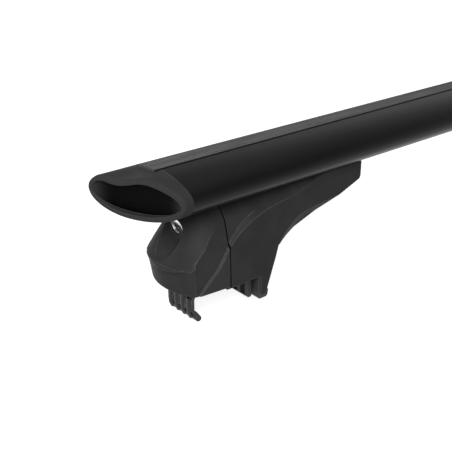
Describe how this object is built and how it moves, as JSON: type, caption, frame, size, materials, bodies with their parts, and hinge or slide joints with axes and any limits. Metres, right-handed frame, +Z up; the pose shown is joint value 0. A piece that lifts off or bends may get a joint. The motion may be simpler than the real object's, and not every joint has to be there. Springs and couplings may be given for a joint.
{
  "type": "roof rack crossbar",
  "caption": "Wing-section roof crossbar on lockable clamp feet, with a ribbed rubber top strip and slanted end caps.",
  "frame": {"origin": "under the middle of the bar, on the lowest line of the two claws", "axes": "+X along the bar, +Y towards the leading edge of the wing section, +Z up"},
  "size_m": [1.0726, 0.077, 0.1242],
  "materials": {
    "bar_black": "satin black coated aluminium",
    "strip_rubber": "matt ribbed rubber",
    "cap_plastic": "finely grained moulded plastic",
    "cover_plastic": "finely grained moulded plastic",
    "body_plastic": "finely grained moulded plastic",
    "pad_rubber": "matt rubber",
    "claw_steel": "black coated steel",
    "sleeve_rubber": "smooth rubber",
    "zinc_steel": "zinc plated",
    "lock_chrome": "polished chrome"
  },
  "bodies": {
    "bar": {"bar_extrusion": "bar_black", "top_strip": "strip_rubber", "left_end_cap": "cap_plastic", "right_end_cap": "cap_plastic"},
    "left_foot": {"left_foot_body": "body_plastic", "left_rail_pad": "pad_rubber", "left_clamp_nut": "zinc_steel", "left_mount_plate": "zinc_steel", "left_tee_bolts": "zinc_steel", "left_tee_nuts": "zinc_steel"},
    "left_cover_unit": {"left_outer_cover": "cover_plastic", "left_lock_housing": "lock_chrome"},
    "left_lock_unit": {"left_lock_barrel": "lock_chrome", "left_lock_cam": "zinc_steel", "left_lock_cam_screw": "zinc_steel"},
    "left_claw_unit": {"left_claw": "claw_steel", "left_claw_sleeve": "sleeve_rubber", "left_clamp_washer": "zinc_steel"},
    "left_bolt_unit": {"left_clamp_bolt": "zinc_steel"},
    "right_foot": {"right_foot_body": "body_plastic", "right_rail_pad": "pad_rubber", "right_clamp_nut": "zinc_steel", "right_mount_plate": "zinc_steel", "right_tee_bolts": "zinc_steel", "right_tee_nuts": "zinc_steel"},
    "right_cover_unit": {"right_outer_cover": "cover_plastic", "right_lock_housing": "lock_chrome"},
    "right_lock_unit": {"right_lock_barrel": "lock_chrome", "right_lock_cam": "zinc_steel", "right_lock_cam_screw": "zinc_steel"},
    "right_claw_unit": {"right_claw": "claw_steel", "right_claw_sleeve": "sleeve_rubber", "right_clamp_washer": "zinc_steel"},
    "right_bolt_unit": {"right_clamp_bolt": "zinc_steel"}
  },
  "joints": [
    {"name": "left_foot_slide", "type": "slide", "parent": "bar", "child": "left_foot", "axis": [1, 0, 0], "range_m": [0, 0.06]},
    {"name": "left_cover_slide", "type": "slide", "parent": "left_foot", "child": "left_cover_unit", "axis": [-1, 0, 0], "range_m": [0, 0.09]},
    {"name": "left_lock_turn", "type": "hinge", "parent": "left_cover_unit", "child": "left_lock_unit", "pos_m": [-0.4875, 0, 0.0761], "axis": [-0.9781, 0, -0.2079], "range_deg": [0, 90]},
    {"name": "left_claw_slide", "type": "slide", "parent": "left_foot", "child": "left_claw_unit", "axis": [1, 0, 0], "range_m": [-0.004, 0.01]},
    {"name": "left_bolt_turn", "type": "hinge", "parent": "left_claw_unit", "child": "left_bolt_unit", "pos_m": [-0.474, 0, 0.0496], "axis": [1, 0, 0], "range_deg": [-1152, 2880]},
    {"name": "right_foot_slide", "type": "slide", "parent": "bar", "child": "right_foot", "axis": [-1, 0, 0], "range_m": [0, 0.06]},
    {"name": "right_cover_slide", "type": "slide", "parent": "right_foot", "child": "right_cover_unit", "axis": [1, 0, 0], "range_m": [0, 0.09]},
    {"name": "right_lock_turn", "type": "hinge", "parent": "right_cover_unit", "child": "right_lock_unit", "pos_m": [0.4875, 0, 0.0761], "axis": [-0.9781, 0, 0.2079], "range_deg": [0, 90]},
    {"name": "right_claw_slide", "type": "slide", "parent": "right_foot", "child": "right_claw_unit", "axis": [-1, 0, 0], "range_m": [-0.004, 0.01]},
    {"name": "right_bolt_turn", "type": "hinge", "parent": "right_claw_unit", "child": "right_bolt_unit", "pos_m": [0.474, 0, 0.0496], "axis": [-1, 0, 0], "range_deg": [-1152, 2880]}
  ],
  "couplings": [
    {"joint": "left_bolt_turn", "follows": "left_claw_slide", "rad_per_m": 5026.5},
    {"joint": "right_bolt_turn", "follows": "right_claw_slide", "rad_per_m": 5026.5}
  ]
}
